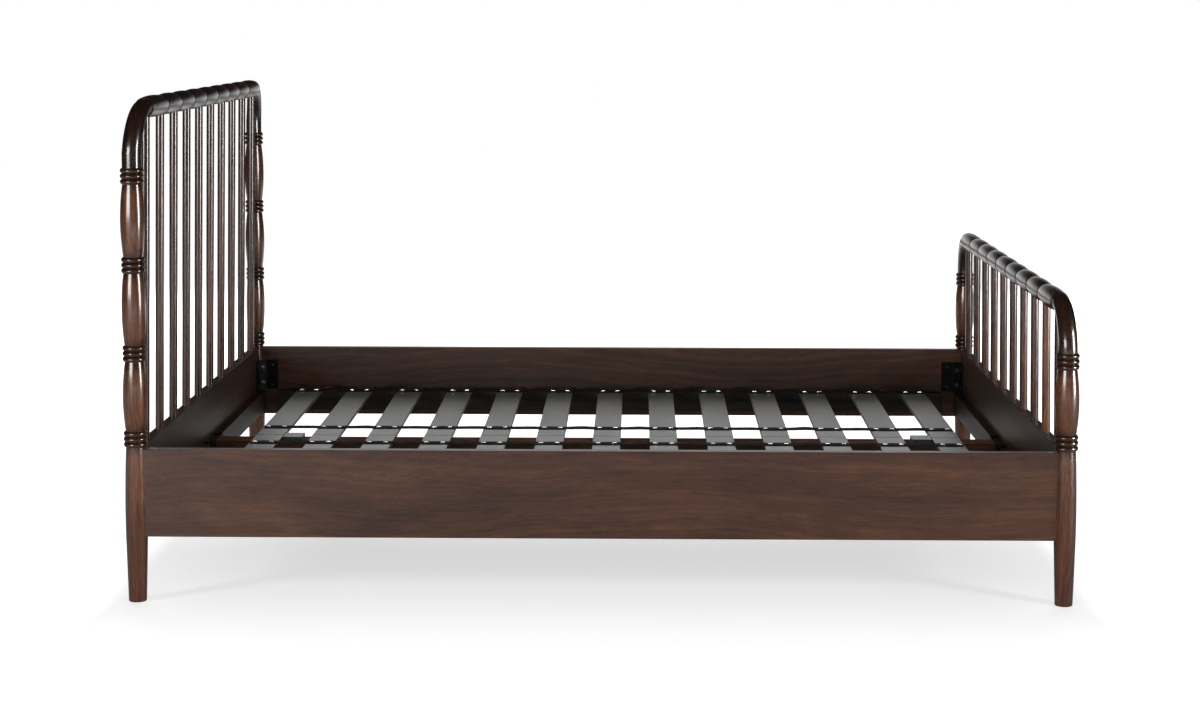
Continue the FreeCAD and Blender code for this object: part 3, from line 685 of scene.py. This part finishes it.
def screws():
    """Round-head screws of the brackets and hangers."""
    shell = Shell()
    for part in loose_parts("short_screws"):
        top, axis, length = fastener_line(part)
        dome = []
        for a in np.linspace(DOME_START, math.pi / 2, DOME_STEPS):
            dome.append((SCREW_HEAD_RADIUS * math.sin(a), SCREW_HEAD_HEIGHT * (1.0 - math.cos(a))))
        shank = [
            (SCREW_SHANK_RADIUS, SCREW_SHANK_START),
            (SCREW_SHANK_RADIUS, length - SCREW_POINT_LENGTH),
            (SCREW_POINT_RADIUS, length),
        ]
        shell.tube(lathe_rings(top, axis, dome + shank, cross_slot))
    shell.piece("round_screws", dark_steel, "frame", "fastener_steel", "short_screws")


def bolts():
    """Hexagon bolts with chamfered heads on round washers."""
    shell = Shell()
    for part in loose_parts("bed_bolts"):
        top, axis, length = fastener_line(part)
        shank = ((BOLT_SHANK_RADIUS, length - BOLT_TIP_LENGTH), (BOLT_TIP_RADIUS, length))
        shell.tube(lathe_rings(top, axis, BOLT_HEAD + BOLT_WASHER + shank, hexagon))
    shell.piece("hex_bolts", dark_steel, "frame", "fastener_steel", "bed_bolts")


STEEL_EDGE = 0.0006
WOOD_EDGE = 0.0012
STRAP_SEED = 31
STAPLE_SEED = 57


def ease_edges(name, width):
    """Small rounds on the sharp edges of a carried-over piece."""
    weld = nodes[name].modifiers.new("weld", "WELD")
    weld.merge_threshold = WELD_DISTANCE
    bevel = nodes[name].modifiers.new("bevel", "BEVEL")
    bevel.width = width
    bevel.segments = 2
    bevel.limit_method = "ANGLE"
    bevel.angle_limit = SHARP_ANGLE


sheen_names = ("slats_left", "slats_right", "beam_stop_blocks", "side_rail_left", "side_rail_right")
sheen_pieces = [nodes[name] for name in sheen_names]
wire_pieces = []
for number, side in enumerate(SIDES):
    straps(side, random.Random(STRAP_SEED + number))
    wire_pieces.append(staples(side, random.Random(STAPLE_SEED + number)))
screws()
bolts()
for name in nodes:
    if name in ("corner_brackets", "beam_hangers"):
        ease_edges(name, STEEL_EDGE)
    if name.endswith(("_cleat", "_stop_blocks")) or name.startswith(("rail_ledger", "centre_")):
        ease_edges(name, WOOD_EDGE)


# Camera: place in metres, turns in degrees, lens in millimetres, and the picture in pixels
CAMERA_PLACE = (0.0858, -5.7128, 1.3191)
CAMERA_TURNS = (0.599, -4.416, -0.136)
CAMERA_LENS = 66.297
PICTURE_WIDTH = 1200.0
PICTURE_MIDDLE = (600.0, 355.5)
OPTICAL_CENTRE = (615.8, 190.4)


def camera():
    """Camera at the photograph's place, with its lens and framing."""
    yaw, pitch, roll = (math.radians(a) for a in CAMERA_TURNS)
    turn = Matrix.Rotation(yaw, 3, "Z") @ Matrix.Rotation(pitch, 3, "X") @ Matrix.Rotation(roll, 3, "Y")
    right, forward, up = turn.col
    data = bpy.data.cameras.new("camera")
    data.sensor_fit = "HORIZONTAL"
    data.sensor_width = 36.0
    data.lens = CAMERA_LENS
    data.shift_x = (PICTURE_MIDDLE[0] - OPTICAL_CENTRE[0]) / PICTURE_WIDTH
    data.shift_y = (OPTICAL_CENTRE[1] - PICTURE_MIDDLE[1]) / PICTURE_WIDTH
    data.clip_end = 100.0
    obj = bpy.data.objects.new("camera", data)
    axes = Matrix((right, up, -forward)).transposed().to_4x4()
    obj.matrix_world = Matrix.Translation(CAMERA_PLACE) @ axes
    bpy.context.scene.collection.objects.link(obj)
    bpy.context.scene.camera = obj


# Floor: half its width, the glow that the camera sees on it under the bed and away from it, and where one
# fades into the other; the full glow away from the bed is painted light that washes out the bed's real
# shadow there
FLOOR_HALF = 14.0
FLOOR_SHADES = (0.57, 1.04)
FLOOR_FADE_BESIDE = (1.07, 1.2)
FLOOR_FADE_BEFORE = (0.6, 1.9)
FLOOR_COLOUR = (0.86, 0.86, 0.86)
FLOOR_MIRRORED = (0.7, 0.7, 0.7)
SWEEP_LIGHT = 0.36
SWEEP_RISE = (1.4, 2.8)
SWEEP_END = (5.0, 8.0)


def floor():
    """Pale floor that keeps the object's shadow near the bed, while farther out its glow is painted light
    that turns it, shadow and all, to white.
    """
    mesh = bpy.data.meshes.new("floor")
    corners = [(FLOOR_HALF * u, FLOOR_HALF * v, 0.0) for u, v in ((-1, -1), (1, -1), (1, 1), (-1, 1))]
    mesh.from_pydata(corners, [], [(0, 1, 2, 3)])
    obj = bpy.data.objects.new("floor", mesh)
    bpy.context.scene.collection.objects.link(obj)
    g = Graph("floor")
    place = g.add("ShaderNodeTexCoord").outputs["Object"]
    sides = g.add("ShaderNodeSeparateXYZ", {0: place}).outputs
    back = sides["Y"]
    reach = g.vector_math("LENGTH", place)
    beside = g.smooth(g.math("ABSOLUTE", sides["X"]), *FLOOR_FADE_BESIDE, *FLOOR_SHADES)
    before = g.smooth(g.math("ABSOLUTE", back), *FLOOR_FADE_BEFORE, *FLOOR_SHADES)
    path = g.add("ShaderNodeLightPath")
    colour = g.mix(path.outputs["Is Glossy Ray"], FLOOR_COLOUR, FLOOR_MIRRORED)
    g.set(Base_Color=colour, Roughness=0.9)
    g.shader.inputs["Specular IOR Level"].default_value = 0.0
    rise = g.smooth(back, *SWEEP_RISE, 0.0, SWEEP_LIGHT)
    sweep = g.math("MULTIPLY", rise, g.smooth(reach, *SWEEP_END, 1.0, 0.0))
    # The camera sees a glow on top of the floor's real lighting: weaker near the bed so that the real
    # shadow shows, and full farther out, where it is painted light that hides the shadow
    seen = g.math("MULTIPLY", path.outputs["Is Camera Ray"], g.math("MAXIMUM", beside, before))
    mirrored = g.math("MULTIPLY", path.outputs["Is Glossy Ray"], sweep)
    g.set(Emission_Color=(1.0, 1.0, 1.0, 1.0))
    g.put(g.shader.inputs["Emission Strength"], g.math("ADD", seen, mirrored))
    mesh.materials.append(g.material)
    return obj


def softbox(name, place, target, width, height, power, lights=True, mirrors=True):
    """Rectangular studio light that faces a point, and lights the object, shows in its gloss, or both."""
    data = bpy.data.lights.new(name, "AREA")
    data.shape = "RECTANGLE"
    data.size = width
    data.size_y = height
    data.energy = power
    obj = bpy.data.objects.new(name, data)
    aim = Vector(target) - Vector(place)
    obj.matrix_world = Matrix.Translation(place) @ aim.to_track_quat("-Z", "Y").to_matrix().to_4x4()
    obj.visible_camera = False
    obj.visible_diffuse = lights
    obj.visible_glossy = mirrors
    bpy.context.scene.collection.objects.link(obj)
    return obj


def keep_light_to(light, pieces):
    """Let a light reach only some pieces."""
    group = bpy.data.collections.new(light.name + "_pieces")
    for piece in pieces:
        group.objects.link(piece)
    light.light_linking.receiver_collection = group


# Studio: light of the backdrop, how far it reaches round and up, and light of the rest
BACKDROP_LIGHT = 0.70
BACKDROP_ROUND = (0.90, 0.985)
BACKDROP_UP = (0.03, 0.11)
MIRRORED_REST = 0.015
AMBIENT_LIGHT = 0.05


def world():
    """White surroundings for the camera, and a dim studio with a white backdrop for the object."""
    w = bpy.data.worlds.new("studio")
    bpy.context.scene.world = w
    w.use_nodes = True
    tree = w.node_tree
    background = tree.nodes["Background"]
    background.inputs["Color"].default_value = (1.0, 1.0, 1.0, 1.0)
    path = tree.nodes.new("ShaderNodeLightPath")
    direction = tree.nodes.new("ShaderNodeTexCoord")
    split = tree.nodes.new("ShaderNodeSeparateXYZ")
    tree.links.new(direction.outputs["Generated"], split.inputs[0])

    def fade(socket, low, high, at_low, at_high):
        node = tree.nodes.new("ShaderNodeMapRange")
        node.interpolation_type = "SMOOTHSTEP"
        for key, value in (("From Min", low), ("From Max", high), ("To Min", at_low), ("To Max", at_high)):
            node.inputs[key].default_value = value
        tree.links.new(socket, node.inputs["Value"])
        return node.outputs["Result"]

    def combine(operation, a, b):
        node = tree.nodes.new("ShaderNodeMath")
        node.operation = operation
        for socket, value in zip(node.inputs, (a, b)):
            if isinstance(value, float):
                socket.default_value = value
            else:
                tree.links.new(value, socket)
        return node.outputs[0]

    behind = fade(split.outputs["Y"], *BACKDROP_ROUND, 0.0, BACKDROP_LIGHT)
    backdrop = combine("MULTIPLY", behind, fade(split.outputs["Z"], *BACKDROP_UP, 1.0, 0.0))
    mirrored = combine("ADD", backdrop, MIRRORED_REST)
    seen = combine("MAXIMUM", path.outputs["Is Camera Ray"], path.outputs["Is Transmission Ray"])
    glossy = path.outputs["Is Glossy Ray"]
    rest = combine("SUBTRACT", combine("SUBTRACT", 1.0, seen), glossy)
    total = combine("ADD", combine("MULTIPLY", glossy, mirrored), combine("MULTIPLY", rest, AMBIENT_LIGHT))
    tree.links.new(combine("ADD", seen, total), background.inputs["Strength"])


bpy.context.scene.view_settings.view_transform = "Standard"
camera()
ground = floor()
world()
# Lights: place, point that they face, width and height in metres, and power in watts
softbox("left_scrim", (-3.9, -6.1, 1.3), (-0.3, 0.0, 0.6), 3.2, 1.5, 240.0, lights=False)
softbox("right_strip", (4.2, -2.3, 1.05), (0.4, -0.3, 0.5), 1.1, 1.9, 220.0, lights=False)
softbox("front_fill", (0.0, -6.3, 0.6), (0.0, 0.0, 0.4), 7.0, 1.0, 290.0, mirrors=False)
softbox("back_scrim", (0.0, 4.5, 1.9), (0.0, 0.0, 0.3), 9.0, 2.4, 254.0, mirrors=False)
back_top = softbox("back_top", (0.0, 3.4, 4.0), (0.0, 0.0, 0.3), 7.0, 2.0, 75.0, mirrors=False)
keep_light_to(back_top, [obj for obj in bpy.context.scene.objects if obj.type == "MESH" and obj != ground])
keep_light_to(softbox("slat_sheen", (0.0, 4.6, 1.5), (0.0, 0.0, 0.3), 9.0, 2.2, 88.0), sheen_pieces)
for end, middle, height, power in (("head", 0.74, 0.9, 24.0), ("foot", 1.0, 1.4, 46.0)):
    place = (0.0, 6.0, middle)
    edge = softbox(end + "_rail_edge", place, (0.0, 0.0, 0.9), 12.0, height, power, lights=False)
    keep_light_to(edge, [nodes[end + "_top_rail"]])
keep_light_to(softbox("staple_glint", (0.0, -1.5, 4.0), (0.0, 0.0, 0.2), 4.0, 2.0, 420.0), wire_pieces)
for side in (-1.0, 1.0):
    wash = softbox("floor_wash", (4.0 * side, -3.0, 1.6), (0.8 * side, -0.6, 0.0), 0.8, 0.8, 40.0)
    keep_light_to(wash, [ground])
